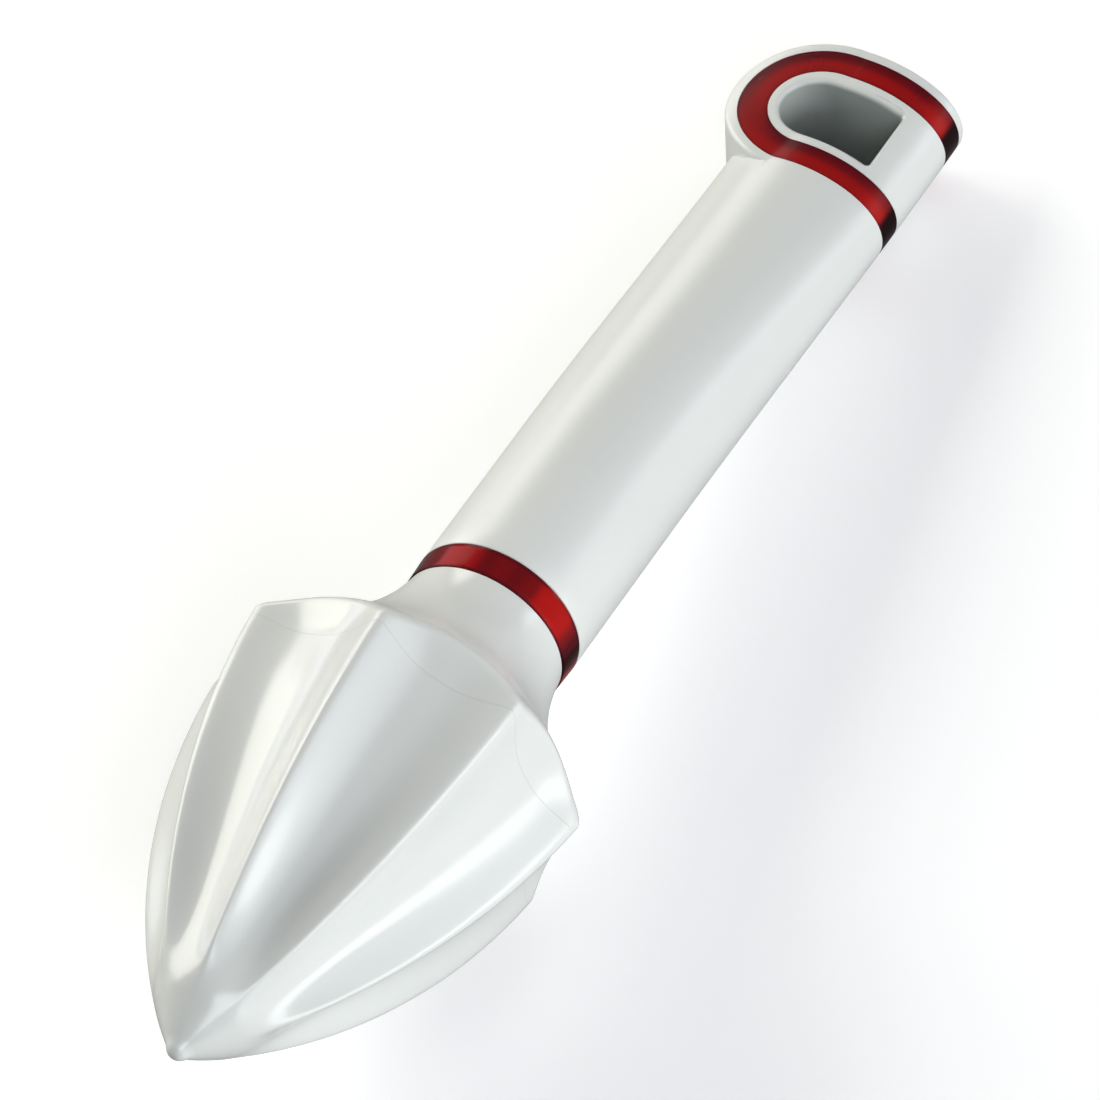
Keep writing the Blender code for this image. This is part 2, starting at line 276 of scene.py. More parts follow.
def fromCrest(angle):       # 0 at the nearest crest, -1 and 1 in the flutes beside it
    half = math.pi / head["ridges"]
    return ((angle + half) % (2 * half) - half) / half


def crestShare(angle):
    rounding = head["crestRound"]
    full = math.hypot(1.0, rounding) - rounding
    slope = (math.hypot(fromCrest(angle), rounding) - rounding) / full
    return (1.0 - slope) ** head["scoop"]


def warpToCrests(angle):
    half = math.pi / head["ridges"]
    across = fromCrest(angle)
    packed = math.copysign(abs(across) ** head["crestPacking"], across)
    return angle - across * half + packed * half


def flareRadius(distance):
    start = math.radians(neck["flareStart"])
    limit = math.sin(math.radians(neck["flareLimit"]))
    bend = neck["flareRadius"]
    sine = min(max(distance, 0.0) / bend + math.sin(start), limit)
    beyond = max(distance - bend * (limit - math.sin(start)), 0.0)
    rise = bend * (math.cos(start) - math.sqrt(1 - sine ** 2))
    return neck["radius"] + rise + beyond * math.tan(math.radians(neck["flareLimit"]))


def headPoint(x, angle, dip, isNeck):
    share = (x - tipX) / head["coneLength"]
    valley = 1.0 - crestShare(angle)
    fill = head["fluteFill"] * smoothstep((x - seamX) / head["fillLength"])
    radius = crestRadius(share) - fluteDepth(share) * valley * (1.0 - fill)
    place = x - dip * valley
    if isNeck:
        rounding = head["cornerRound"] + (head["shoulderRound"] - head["cornerRound"]) * valley
        radius = smoothMinimum(radius, flareRadius(seatX - place), 4 * rounding)
    return Vector((place, radius * math.sin(angle), radius * math.cos(angle)))


# fluted lists the skin's stations along X, each with the seam's dip there.
def fluteVerts(bm, fluted, isNeck):
    for vert in bm.verts:
        radius = math.hypot(vert.co.y, vert.co.z)
        if radius < 1e-9:
            continue
        angle = warpToCrests(math.atan2(vert.co.y, vert.co.z))
        if radius > 0.5 * skinRadius:
            dip = min(fluted, key=lambda place: abs(place[0] - vert.co.x))[1]
            vert.co = headPoint(vert.co.x, angle, dip, isNeck)
        else:
            vert.co = (vert.co.x, radius * math.sin(angle), radius * math.cos(angle))


def buildCone():
    nose = head["noseRadius"]
    outer = [(tipX, 0.0)]
    for i in range(1, head["noseSteps"]):
        angle = math.radians(head["noseAngle"]) * i / (head["noseSteps"] - 1)
        outer.append((tipX + nose * (1 - math.cos(angle)), nose * math.sin(angle)))
    fluted = []
    first = head["noseShare"] * nose
    last = head["coneLength"] - 0.5 * head["seamGap"]
    for i in range(head["stations"] + 1):
        share = i / head["stations"]
        x = tipX + first + (last - first) * share ** head["stationPower"]
        fluted.append((x, head["seamDip"] * smoothstep(2.0 * share - 1.0)))
        outer.append((x, skinRadius))
    rimX = seamX - head["seamDip"] - head["rimStep"]
    boreX = rimX - head["rimDepth"]
    depth = head["coneLength"] * head["cavityShare"]
    cavity = [(rimX, coneBore)]
    for i in range(head["cavitySteps"]):
        share = i / head["cavitySteps"]
        bulge = 1 + head["cavityBulge"] * share
        cavity.append((boreX - depth * share, coneBore * (1 - share) * bulge))
    cavity.append((boreX - depth, 0.0))
    bm = spinProfile(outer + cavity, headFacets)
    fluteVerts(bm, fluted, False)
    return makePiece("reamerConeShell", bm, head["sharpAngle"])


def buildNeck():
    faceX = seamX + 0.5 * head["seamGap"]
    lipRadius = coneBore - neck["lipGap"]
    lipRoot = faceX - head["seamDip"]
    profile = [
        (lipRoot - neck["lipLength"], lipRadius - neck["lipLead"]),
        (lipRoot - neck["lipStraight"], lipRadius),
        (lipRoot, lipRadius),
    ]
    fluted = []
    for i in range(neck["stations"] + 1):
        share = i / neck["stations"]
        x = faceX + (neck["length"] - neck["seatGap"]) * (0.5 * share + 0.5 * share ** 2)
        fluted.append((x, head["seamDip"] * (1.0 - share) ** 2))
        profile.append((x, skinRadius))
    end = mouthX + neck["spigotLength"]
    profile += [
        (seatX, neck["spigotRadius"]),
        (end - neck["spigotLead"], neck["spigotRadius"]),
        (end, neck["spigotRadius"] - neck["spigotLead"]),
        (end, neck["bore"]),
    ]
    throat = seatX - neck["throatShare"] * neck["length"]
    inner = lipRadius - neck["lipWall"]
    profile.append((throat, neck["bore"]))
    for share in neck["cavityShares"]:
        x = throat + (lipRoot - throat) * share
        wide = flareRadius(seatX - x) - neck["flareWall"]
        profile.append((x, max(min(wide, inner), neck["bore"])))
    profile += [(lipRoot, inner), (lipRoot - neck["lipLength"], inner)]
    bm = spinProfile(profile, headFacets, closed=True)
    fluteVerts(bm, fluted, True)
    return makePiece("neckCapShell", bm, neck["sharpAngle"])


def buildRing():
    start = seatX + ring["seamGap"]
    end = mouthX - ring["seamGap"]
    small = ring["radius"] - ring["draft"]
    edge = ring["edge"]
    profile = [(start, ring["bore"])]
    for angle in (0, 30, 60, 90):
        turn = math.radians(angle)
        profile.append((start + edge * (1 - math.cos(turn)), small - edge * (1 - math.sin(turn))))
    for i in range(1, ring["bandSteps"]):
        share = i / ring["bandSteps"]
        x = start + edge + (end - start - 2 * edge) * share
        profile.append((x, small + ring["draft"] * share))
    for angle in (90, 60, 30, 0):
        turn = math.radians(angle)
        x = end - edge * (1 - math.cos(turn))
        profile.append((x, ring["radius"] - edge * (1 - math.sin(turn))))
    profile.append((end, ring["bore"]))
    bm = spinProfile(profile, ring["facets"], closed=True)
    return makePiece("frontRingBand", bm, ring["sharpAngle"])


# The handle and its hanging loop

def handleSection(distance):
    flattenEnd = handle["length"] - handle["tailStraight"]
    share = smoothstep((distance - handle["flattenStart"]) / (flattenEnd - handle["flattenStart"]))
    ends = (handle["tailHalfWidth"], handle["tailHalfHeight"], handle["tailLoopSide"])
    return [handle["radius"] + (end - handle["radius"]) * share for end in ends]


def ovalTop(y, halfWidth, height):
    return height * math.sqrt(max(1.0 - (y / halfWidth) ** 2, 0.0))


def tailTop(y):
    if y > 0.0:
        share, power = y / loop["crownHalfWidth"], loop["crownPower"]
        return handle["tailHalfHeight"] * (1.0 - share ** power) ** (1 / power)
    return ovalTop(y, handle["tailHalfWidth"], handle["tailHalfHeight"])


def shapeTube(bm, inset=0.0, roundEnds=True):
    edge = handle["edgeRound"]
    for vert in bm.verts:
        x = vert.co.x
        width, height, loopSide = [part - inset for part in handleSection(x - mouthX)]
        angle = math.atan2(vert.co.z, vert.co.y)
        limit = 1.0
        shrink = 0.0
        if roundEnds:
            fromTail = tailX - x
            if fromTail < edge:
                shrink = edge - math.sqrt(max(edge ** 2 - (edge - fromTail) ** 2, 0.0))
            if x - mouthX < mouthRound:
                fromMouth = mouthRound - (x - mouthX)
                shrink = mouthRound - math.sqrt(max(mouthRound ** 2 - fromMouth ** 2, 0.0))
            past = min(max((x - centreX) / (loop["radius"] - 0.5 * edge), 0.0), 1.0)
            if past > 0.0:
                reach = loop["radius"] - loop["tubeInset"]
                limit = loop["centreY"] + reach * math.sqrt(1.0 - past ** 2)
        y = math.cos(angle) * ((width if math.cos(angle) < 0.0 else loopSide) - shrink)
        vert.co = (x, min(y, limit), math.sin(angle) * (height - shrink))


def tubeStations():
    edge = handle["edgeRound"]
    steps = handle["stations"]
    places = [mouthX + mouthRound * (1 - math.cos(math.radians(a))) for a in (0, 30, 60, 90)]
    middle = centreX - mouthX - mouthRound
    places += [mouthX + mouthRound + middle * i / steps for i in range(1, steps + 1)]
    reach = loop["radius"] - edge
    places += [centreX + reach * math.sin(math.radians(a)) for a in range(6, 91, 6)]
    places += [tailX - edge + edge * math.sin(math.radians(a)) for a in (15, 30, 45, 60, 75, 90)]
    return places


def buildTube(name):
    bm = spinProfile([(x, skinRadius) for x in tubeStations()], handle["facets"])
    shapeTube(bm)
    bmesh.ops.holes_fill(bm, edges=bm.edges[:], sides=0)
    return makePiece(name, bm)


# A closed outline in plan: an arc towards +Y and two straight legs. Corners may be rounded.
def planOutline(bm, radius, endY, corner=0.0):
    start = bm.verts.new((centreX + radius, loop["centreY"], 0.0))
    bmesh.ops.spin(
        bm, geom=[start], cent=(centreX, loop["centreY"], 0.0), axis=(0.0, 0.0, 1.0),
        dvec=(0.0, 0.0, 0.0), angle=math.pi, steps=loop["arcSteps"],
    )
    bm.verts.ensure_lookup_table()
    arcEnd = Vector((centreX - radius, loop["centreY"], 0.0))
    finish = min(bm.verts, key=lambda vert: (vert.co - arcEnd).length)
    near = bm.verts.new((centreX - radius, endY, 0.0))
    far = bm.verts.new((centreX + radius, endY, 0.0))
    legs = [bm.edges.new((finish, near)), bm.edges.new((far, start))]
    bm.edges.new((near, far))
    if corner > 0.0:
        bmesh.ops.bevel(
            bm, geom=[near, far], offset=corner, offset_type="OFFSET",
            segments=loop["cornerSteps"], affect="VERTICES", profile=0.5, material=-1,
        )
        longEdges = [edge for edge in bm.edges if edge.calc_length() > loop["legLeast"]]
        legs = [e for e in longEdges if abs(e.verts[0].co.x - e.verts[1].co.x) < 1e-6]
    bmesh.ops.subdivide_edges(bm, edges=legs, cuts=loop["legCuts"])


def buildPrism(name, radius, endY, halfHeight):
    bm = bmesh.new()
    planOutline(bm, radius, endY)
    bmesh.ops.translate(bm, verts=bm.verts[:], vec=(0.0, 0.0, -halfHeight))
    bmesh.ops.edgeloop_fill(bm, edges=bm.edges[:])
    made = bmesh.ops.extrude_face_region(bm, geom=bm.faces[:])
    bmesh.ops.translate(bm, verts=vertsOf(made), vec=(0.0, 0.0, 2 * halfHeight))
    return makePiece(name, bm)


def outwardNormal(vert, middle):
    normal = Vector((0.0, 0.0, 0.0))
    for edge in vert.link_edges:
        other = edge.other_vert(vert).co
        along = (other - vert.co).normalized()
        side = Vector((along.y, -along.x, 0.0))
        if side.dot(0.5 * (vert.co + other) - middle) < 0.0:
            side = -side
        normal += side
    return normal.normalized()


# Rows of levels above the middle plane, each pushed outwards along the outline's own normals.
def buildFlared(name, radius, endY, corner, levels):
    bm = bmesh.new()
    planOutline(bm, radius, endY, corner)
    middle = Vector((centreX, 0.5 * (endY + loop["centreY"]), 0.0))
    row = bm.verts[:]
    places = [vert.co.copy() for vert in row]
    normals = [outwardNormal(vert, middle) for vert in row]
    edges = bm.edges[:]
    for offset, lift in levels:
        made = bmesh.ops.extrude_edge_only(bm, edges=edges)
        verts = vertsOf(made)
        edges = [item for item in made["geom"] if isinstance(item, bmesh.types.BMEdge)]
        edges = [edge for edge in edges if edge.verts[0] in verts and edge.verts[1] in verts]
        for vert in verts:
            index = min(range(len(row)), key=lambda i: (row[i].co - vert.co).length_squared)
            place = places[index] + normals[index] * offset
            vert.co = (place.x, place.y, tailTop(places[index].y) + lift)
            row[index] = vert
    bmesh.ops.edgeloop_fill(bm, edges=edges)
    mirrorDown(bm)
    return makePiece(name, bm)


# Near the handle the tube stands a little above the loop's top: the two run into each other.
def blendedTop(x, y):
    height, loopSide = handleSection(centreX + x - mouthX)[1:]
    tube = ovalTop(y, loopSide, height) + loop["topClearance"]
    return -smoothMinimum(-tailTop(y), -tube, loop["topBlend"])


def bossPoint(across, along, kind, amount):
    edge = handle["edgeRound"]
    along = max(along, loop["backShare"])
    y = loop["centreY"] + loop["radius"] * along
    x = (loop["radius"] if across > 0.0 else loop["nearRadius"]) * across
    height = tailTop(y)
    foot = ovalTop(y, handle["tailLoopSide"], handle["tailHalfHeight"])
    foot = min(max(foot, loop["footShare"] * height), height - loop["footRoom"] * edge)
    fade = smoothstep(loop["filletFade"] * (1.0 - y / handle["tailLoopSide"]))
    fillet = min(loop["fillet"] * fade, loop["filletMost"] * (height - edge - foot))
    outward = Vector((across, max(along, 0.0), 0.0))
    if kind == "floor":
        z = 0.0
    elif kind == "flare":
        z = foot + max(fillet, loop["filletLeast"] * edge) * (1 - math.sin(amount))
    elif kind == "edge":
        z = height - edge * (1 - math.sin(amount))
        x -= outward.x * edge * (1 - math.cos(amount))
        y -= outward.y * edge * (1 - math.cos(amount))
    if kind in ("floor", "flare") and across < 0.0:
        turn = amount if kind == "flare" else 0.5 * math.pi
        x -= fillet * (1 - math.cos(turn)) * min(-loop["flareOnset"] * across, 1.0)
    if kind == "top":
        x = (x - outward.x * edge) * amount
        y = loop["centreY"] + (y - outward.y * edge - loop["centreY"]) * amount
        z = height = tailTop(y)
        if across < 0.0:
            z += smoothstep(-loop["blendOnset"] * across) * (blendedTop(x, y) - height)
    return centreX + x, y, z


def buildBoss(name):
    topRings = loop["topRings"]
    bm = bmesh.new()
    bmesh.ops.create_circle(bm, segments=2 * loop["arcSteps"] + 2, radius=1.0, cap_ends=True)
    levels = [("floor", 0.0)]
    levels += [("flare", math.radians(angle)) for angle in (90, 75, 60, 45, 30, 15, 0)]
    levels += [("edge", math.radians(angle)) for angle in (0, 15, 30, 45, 60, 75, 90)]
    levels += [("top", 1.0 - i / topRings) for i in range(1, topRings)]
    row = set(bm.verts)
    kinds = {vert: levels[0] for vert in row}
    for level in levels[1:]:
        top = [face for face in bm.faces if all(vert in row for vert in face.verts)]
        made = bmesh.ops.extrude_face_region(bm, geom=top)
        row = set(vertsOf(made))
        for vert in row:
            kinds[vert] = level
        bmesh.ops.delete(bm, geom=top, context="FACES_ONLY")
    for vert in bm.verts:
        vert.co = bossPoint(vert.co.x, vert.co.y, *kinds[vert])
    mirrorDown(bm)
    return makePiece(name, bm)


def buildHoleCutter():
    rounding = loop["holeRound"]
    shift = loop["holeShift"]
    levels = []
    for angle in (0, 12, 24, 36, 48, 60, 72, 84):
        turn = math.radians(angle)
        levels.append((rounding * (1 - math.cos(turn)), rounding * (math.sin(turn) - 1)))
    levels.append((loop["holeLip"] * rounding, rounding))
    endY = loop["holeEndY"] - shift
    cutter = buildFlared("holeCutter", loop["holeRadius"], endY, loop["holeCorner"], levels)
    cutter.data.transform(Matrix.Translation((0.0, shift, 0.0)))
    return cutter


def buildHollowCutter(end):
    steps = handle["hollowStations"]
    start = mouthX - handle["hollowOverrun"]
    length = end - mouthX + handle["hollowOverrun"]
    places = [start + length * i / steps for i in range(steps + 1)]
    bm = spinProfile([(x, skinRadius) for x in places], handle["hollowFacets"])
    shapeTube(bm, handle["wall"], roundEnds=False)
    bmesh.ops.holes_fill(bm, edges=bm.edges[:], sides=0)
    return makePiece("hollowCutter", bm)


def buildTail():
    tube = buildTube("tailForm")
    boss = buildBoss("bossForm")
    combine(tube, boss, "UNION")
    farSide = -loop["cutterLength"] * handle["tailHalfWidth"]
    reach = loop["cutterHeight"] * handle["tailHalfHeight"]
    slotRadius = loop["radius"] - loop["rimWall"]
    inlayOuter = slotRadius - loop["seamGap"]
    inlayInner = inlayOuter - loop["inlayWidth"]
    coreRadius = inlayInner - loop["seamGap"]

    inlay = copyOf(tube, "loopInlayBand")
    core = copyOf(tube, "loopCoreBlock")
    shell = copyOf(tube, "handleTube")
    slotCutter = buildPrism("slotCutter", slotRadius, farSide, reach)
    outerCutter = buildPrism("outerCutter", inlayOuter, farSide, reach)
    innerCutter = buildPrism("innerCutter", inlayInner, 2 * farSide, 2 * reach)
    coreCutter = buildPrism("coreCutter", coreRadius, farSide, reach)
    holeCutter = buildHoleCutter()
    hollow = buildHollowCutter(centreX - slotRadius - handle["hollowMargin"])

    combine(shell, slotCutter, "DIFFERENCE")
    combine(shell, hollow, "DIFFERENCE")
    combine(inlay, outerCutter, "INTERSECT")
    combine(inlay, innerCutter, "DIFFERENCE")
    combine(core, coreCutter, "INTERSECT")
    combine(core, holeCutter, "DIFFERENCE")
    discard(tube, boss, slotCutter, outerCutter, innerCutter, coreCutter, holeCutter, hollow)
    for piece in (shell, inlay, core):
        piece.data.shade_smooth()
        piece.data.set_sharp_from_angle(angle=math.radians(handle["sharpAngle"]))
    return shell, inlay, core


cone = buildCone()
neckCap = buildNeck()
print("head built")
ringBand = buildRing()
shell, inlay, core = buildTail()
print("handle and loop built")

plan = (
    (cone, "reamer_cone", "cone_white"),
    (neckCap, "neck_cap", "neck_white"),
    (ringBand, "front_ring", "ring_red"),
    (shell, "handle_shell", "shell_white"),
    (inlay, "loop_inlay", "inlay_red"),
    (core, "loop_core", "core_white"),
)
for piece, node, slotName in plan:
    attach(piece, "root")
    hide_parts(node)


# Finishes

# The faint flow and grain of a moulding, the same in all the plastics.
moulding = {
    "flowDetail": 3.0,
    "flowRoughness": 0.55,
    "flowStretch": (0.35, 1.0, 1.0),
    "flowLow": 0.35,
    "flowHigh": 0.7,
    "shadeMost": 0.5,
    "grainDetail": 2.0,
}

whitePlastic = {
    "colour": (0.80, 0.82, 0.785),
    "shade": (0.74, 0.765, 0.725),
    "roughness": 0.20,
    "handleDuller": 0.08,       # added to the roughness of the handle and the core
    "roughnessSpread": 0.05,
    "grainScale": 2600.0,
    "grainHeight": 0.000012,
    "grainStrength": 0.25,
    "flowScale": 55.0,
    "index": 1.5,
    "specular": 0.55,
    "holePaintedShade": (0.34, 0.37, 0.35),     # painted shade deep inside the hanging hole, where little light reaches
    "holeStart": 0.08,          # where it begins, in roundings of the hole's edge
    "holeDepth": 0.0008,        # where it is full
    "holeSides": (0.0016, 0.0012),       # where it ends outside the hole's arc
    "holeWall": (0.0013, 0.0010),        # where it ends behind the hole's flat wall
    "holeRoughness": 0.55,
}

redPlastic = {
    # The red's brightest lit tone, its deeper tone and the black that the masks below use for
    # painted shade.
    "bright": (0.44, 0.011, 0.009),
    "deep": (0.105, 0.007, 0.011),
    "black": (0.010, 0.001, 0.002),
    "ringRoughness": 0.15,
    "inlayRoughness": 0.27,
    "roughnessSpread": 0.03,
    "ringTransmission": 0.04,
    "inlayTransmission": 0.02,
    "ringSpecular": 0.05,
    "inlaySpecular": 0.09,
    "index": 1.40,
    "cloudScale": 210.0,
    "cloudMiddle": 0.75,
    "cloudDepth": 0.22,
    "lipShadeX": (0.00075, 0.00055),     # painted shade at the ring's lip, back from the handle's mouth
    "lipLight": (1.0, 0.62),
    "footShadeX": (0.0001, 0.0005),      # painted shade at its foot, on from the neck's seat
    "footLight": (0.45, 1.0),
    "ringPaintedShadeTo": 0.22,            # below this painted light the ring runs into painted black shade
    "ringBright": (0.18, 0.9),
    "inlayShadeTurn": 31.0,          # degrees from +X to +Y: painted shade darkens the inlay's outer side that way
    "inlaySlant": (0.28, -0.15),
    "inlayLight": (0.03, 0.66),
    "rimStart": 0.34,           # painted shade along the inlay's rims, in widths from its middle line
    "rimPaintedShade": 0.30,
    "legY": (-0.0085, -0.0118),     # where painted light brightens its legs, along Y
    "legPaintedLight": 0.34,
    "endY": (-0.0125, -0.0131),     # where they roll over the far side into painted black shade
}

# Painted light and shade round the ring: degrees from +Y, then how bright the plastic is painted
# there.
ringPaintedLight = (
    (0, 0.03), (34, 0.06), (50, 0.28), (66, 0.72), (80, 0.62), (90, 0.34), (100, 0.42),
    (112, 0.34), (124, 0.42), (134, 0.92), (154, 0.90), (164, 0.45), (172, 0.12), (180, 0.04),
)


def makeMouldedGroup():
    group = bpy.data.node_groups.new("mouldedSurface", "ShaderNodeTree")
    sockets = (
        ("INPUT", "Color", ("Colour", "Shade")),
        ("INPUT", "Float", ("Roughness", "Spread", "Grain Scale", "Flow Scale")),
        ("OUTPUT", "Color", ("Colour",)),
        ("OUTPUT", "Float", ("Roughness", "Height")),
    )
    for direction, kind, names in sockets:
        for name in names:
            group.interface.new_socket(name=name, in_out=direction, socket_type="NodeSocket" + kind)
    nodes, links = group.nodes, group.links
    enter = nodes.new("NodeGroupInput")
    leave = nodes.new("NodeGroupOutput")
    coords = nodes.new("ShaderNodeTexCoord")
    flow = nodes.new("ShaderNodeTexNoise")
    flow.inputs["Detail"].default_value = moulding["flowDetail"]
    flow.inputs["Roughness"].default_value = moulding["flowRoughness"]
    grain = nodes.new("ShaderNodeTexNoise")
    grain.inputs["Detail"].default_value = moulding["grainDetail"]
    stretch = nodes.new("ShaderNodeMapping")
    stretch.inputs["Scale"].default_value = moulding["flowStretch"]
    links.new(coords.outputs["Object"], stretch.inputs["Vector"])
    links.new(stretch.outputs["Vector"], flow.inputs["Vector"])
    links.new(coords.outputs["Object"], grain.inputs["Vector"])
    links.new(enter.outputs["Flow Scale"], flow.inputs["Scale"])
    links.new(enter.outputs["Grain Scale"], grain.inputs["Scale"])
    ramp = nodes.new("ShaderNodeMapRange")
    ramp.inputs["From Min"].default_value = moulding["flowLow"]
    ramp.inputs["From Max"].default_value = moulding["flowHigh"]
    ramp.inputs["To Max"].default_value = moulding["shadeMost"]
    links.new(flow.outputs["Fac"], ramp.inputs["Value"])
    mix = nodes.new("ShaderNodeMix")
    mix.data_type = "RGBA"
    links.new(ramp.outputs["Result"], mix.inputs["Factor"])
    links.new(enter.outputs["Colour"], mix.inputs["A"])
    links.new(enter.outputs["Shade"], mix.inputs["B"])
    links.new(mix.outputs["Result"], leave.inputs["Colour"])
    centred = nodes.new("ShaderNodeMath")
    centred.operation = "SUBTRACT"
    centred.inputs[1].default_value = 0.5
    links.new(flow.outputs["Fac"], centred.inputs[0])
    spread = nodes.new("ShaderNodeMath")
    spread.operation = "MULTIPLY_ADD"
    links.new(centred.outputs["Value"], spread.inputs[0])
    links.new(enter.outputs["Spread"], spread.inputs[1])
    links.new(enter.outputs["Roughness"], spread.inputs[2])
    links.new(spread.outputs["Value"], leave.inputs["Roughness"])
    links.new(grain.outputs["Fac"], leave.inputs["Height"])
    return group


mouldedGroup = makeMouldedGroup()


def newMaterial(name):
    material = bpy.data.materials.new(name)
    material.use_nodes = True
    tree = material.node_tree
    return material, tree, tree.nodes["Principled BSDF"]


def addSurface(tree, values):
    surface = tree.nodes.new("ShaderNodeGroup")
    surface.node_tree = mouldedGroup
    for name, value in values.items():
        surface.inputs[name].default_value = value
    return surface


def makeWhite(name, look, duller=0.0):
    material, tree, shader = newMaterial(name)
    surface = addSurface(tree, {
        "Colour": (*look["colour"], 1.0),
        "Shade": (*look["shade"], 1.0),
        "Roughness": look["roughness"] + duller,
        "Spread": look["roughnessSpread"],
        "Grain Scale": look["grainScale"],
        "Flow Scale": look["flowScale"],
    })
    bump = tree.nodes.new("ShaderNodeBump")
    bump.inputs["Strength"].default_value = look["grainStrength"]
    bump.inputs["Distance"].default_value = look["grainHeight"]
    tree.links.new(surface.outputs["Colour"], shader.inputs["Base Color"])
    tree.links.new(surface.outputs["Roughness"], shader.inputs["Roughness"])
    tree.links.new(surface.outputs["Height"], bump.inputs["Height"])
    tree.links.new(bump.outputs["Normal"], shader.inputs["Normal"])
    shader.inputs["IOR"].default_value = look["index"]
    shader.inputs["Specular IOR Level"].default_value = look["specular"]
    return material


def linkMath(tree, operation, first, second=None, clamp=False):
    node = tree.nodes.new("ShaderNodeMath")
    node.operation = operation
    node.use_clamp = clamp
    for socket, value in zip(node.inputs, (first, second)):
        if isinstance(value, (int, float)):
            socket.default_value = value
        elif value is not None:
            tree.links.new(value, socket)
    return node.outputs["Value"]


def linkRange(tree, value, start, end, low=0.0, high=1.0):
    node = tree.nodes.new("ShaderNodeMapRange")
    node.interpolation_type = "SMOOTHSTEP"
    for name, amount in (("From Min", start), ("From Max", end), ("To Min", low), ("To Max", high)):
        node.inputs[name].default_value = amount
    tree.links.new(value, node.inputs["Value"])
    return node.outputs["Result"]


def linkMix(tree, factor, first, second):
    node = tree.nodes.new("ShaderNodeMix")
    node.data_type = "RGBA"
    tree.links.new(factor, node.inputs["Factor"])
    for name, value in (("A", first), ("B", second)):
        if isinstance(value, tuple):
            node.inputs[name].default_value = (*value, 1.0)
        else:
            tree.links.new(value, node.inputs[name])
    return node.outputs["Result"]


def linkPlace(tree):        # the object's own coordinates, as X, Y and Z
    coords = tree.nodes.new("ShaderNodeTexCoord")
    split = tree.nodes.new("ShaderNodeSeparateXYZ")
    tree.links.new(coords.outputs["Object"], split.inputs["Vector"])
    return split.outputs


# The coordinates of the loop: along X and Y from the centre of its arc, and out from it.
def loopPlace(tree):
    place = linkPlace(tree)
    along = linkMath(tree, "SUBTRACT", place["X"], centreX)
    across = linkMath(tree, "SUBTRACT", place["Y"], loop["centreY"])
    ahead = linkMath(tree, "MAXIMUM", across, 0.0)
    alongSquare = linkMath(tree, "POWER", along, 2.0)
    aheadSquare = linkMath(tree, "POWER", ahead, 2.0)
    squares = linkMath(tree, "ADD", alongSquare, aheadSquare)
    return along, ahead, place, linkMath(tree, "SQRT", squares)


def paintHoleShade(material, look):
    # Paints shade deep in the hanging hole: the base colour darkens there and the roughness rises.
    tree = material.node_tree
    shader = tree.nodes["Principled BSDF"]
    plain = shader.inputs["Base Color"].links[0].from_socket
    place, radius = loopPlace(tree)[2:]
    height = linkMath(tree, "ABSOLUTE", place["Z"])
    behind = linkMath(tree, "MINIMUM", place["Y"], 0.0)
    past = linkMath(tree, "DIVIDE", behind, handle["tailHalfWidth"])
    fall = linkMath(tree, "SUBTRACT", 1.0, linkMath(tree, "POWER", past, 2.0))
    top = linkMath(tree, "MULTIPLY", linkMath(tree, "SQRT", fall), handle["tailHalfHeight"])
    depth = linkMath(tree, "SUBTRACT", top, height)
    deep = linkRange(tree, depth, look["holeStart"] * loop["holeRound"], look["holeDepth"])
    outer, inner = [loop["holeRadius"] + part for part in look["holeSides"]]
    inside = linkRange(tree, radius, outer, inner)
    outer, inner = [loop["holeEndY"] - part for part in look["holeWall"]]
    ahead = linkRange(tree, place["Y"], outer, inner)
    mask = linkMath(tree, "MULTIPLY", linkMath(tree, "MULTIPLY", deep, inside), ahead)
    tree.links.new(linkMix(tree, mask, plain, look["holePaintedShade"]), shader.inputs["Base Color"])
    polish = shader.inputs["Roughness"].links[0].from_socket
    matt = linkMath(tree, "MULTIPLY", mask, look["holeRoughness"])
    tree.links.new(linkMath(tree, "MAXIMUM", polish, matt), shader.inputs["Roughness"])


def makeRed(name, look, part):
    material, tree, shader = newMaterial(name)
    surface = addSurface(tree, {
        "Colour": (1.0, 1.0, 1.0, 1.0),
        "Shade": (0.0, 0.0, 0.0, 1.0),
        "Roughness": look[part + "Roughness"],
        "Spread": look["roughnessSpread"],
        "Flow Scale": look["cloudScale"],
    })
    tree.links.new(surface.outputs["Roughness"], shader.inputs["Roughness"])
    shader.inputs["IOR"].default_value = look["index"]
    shader.inputs["Specular IOR Level"].default_value = look[part + "Specular"]
    shader.inputs["Transmission Weight"].default_value = look[part + "Transmission"]
    return material, tree, shader, surface


def cloudy(tree, surface, look, light):
    cloud = linkMath(tree, "SUBTRACT", surface.outputs["Colour"], look["cloudMiddle"])
    depth = linkMath(tree, "MULTIPLY", cloud, look["cloudDepth"])
    return linkMath(tree, "ADD", light, depth, clamp=True)


